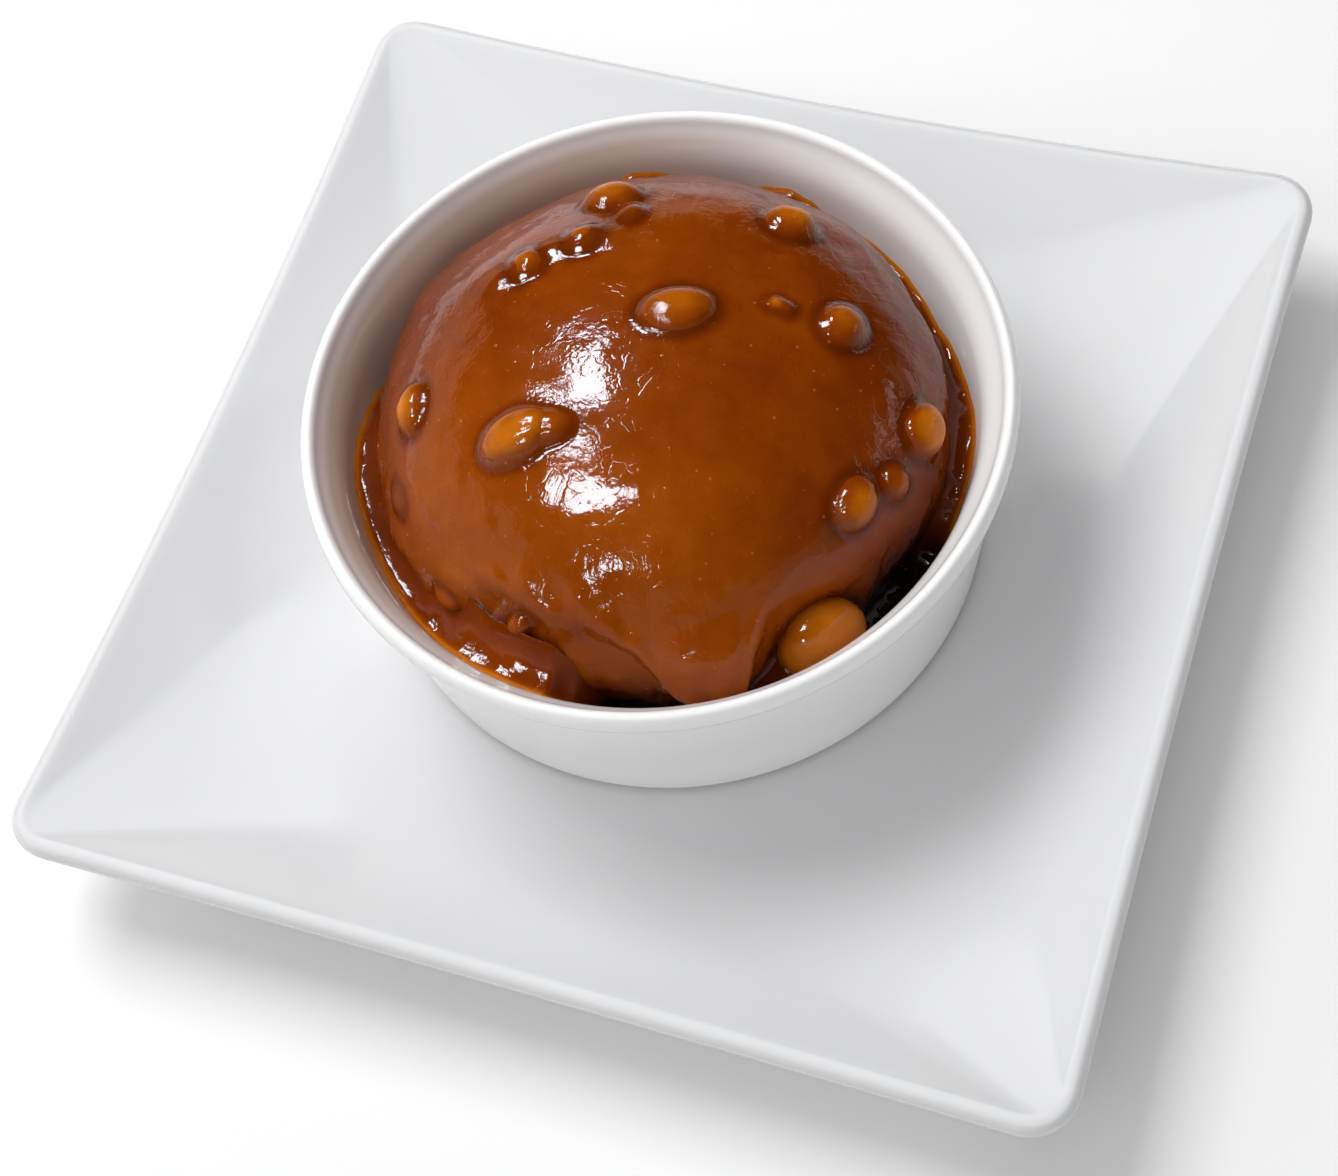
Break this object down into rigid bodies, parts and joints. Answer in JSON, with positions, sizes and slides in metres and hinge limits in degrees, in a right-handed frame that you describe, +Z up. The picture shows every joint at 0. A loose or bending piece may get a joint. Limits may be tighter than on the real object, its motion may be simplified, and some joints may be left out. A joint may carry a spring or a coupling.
{
  "type": "mashed potato side with brown gravy in a ramekin on a square plate",
  "caption": "Scoop of mashed potato coated in glossy brown gravy with soft lumps, in a round white ramekin on a square coupe side plate.",
  "frame": {"origin": "middle of the plate, on the surface that its foot stands on", "axes": "+Z up, X and Y along the plate's sides; the pictured view looks from the -Y side, a little from +X"},
  "size_m": [0.163, 0.163, 0.0615],
  "materials": {
    "plate_glaze": "glossy white glaze",
    "ramekin_glaze": "glossy white glaze",
    "gravy": "wet, glossy brown gravy over mash",
    "gravy_deep": "wet, glossy dark gravy",
    "gravy_on_pieces": "wet, glossy amber-brown gravy coat"
  },
  "bodies": {
    "root": {"plate": "plate_glaze", "ramekin": "ramekin_glaze", "mash_mound": "gravy", "gravy_pool": "gravy_deep", "piece_crown": "gravy_on_pieces", "piece_back_left": "gravy_on_pieces", "piece_back_middle": "gravy_on_pieces", "piece_left_upper": "gravy_on_pieces", "piece_back_right": "gravy_on_pieces", "piece_right_upper": "gravy_on_pieces", "piece_right": "gravy_on_pieces", "piece_right_lower": "gravy_on_pieces", "piece_right_small": "gravy_on_pieces", "piece_left_long": "gravy_on_pieces", "piece_left_small": "gravy_on_pieces", "piece_at_wall": "gravy_on_pieces"}
  },
  "joints": []
}
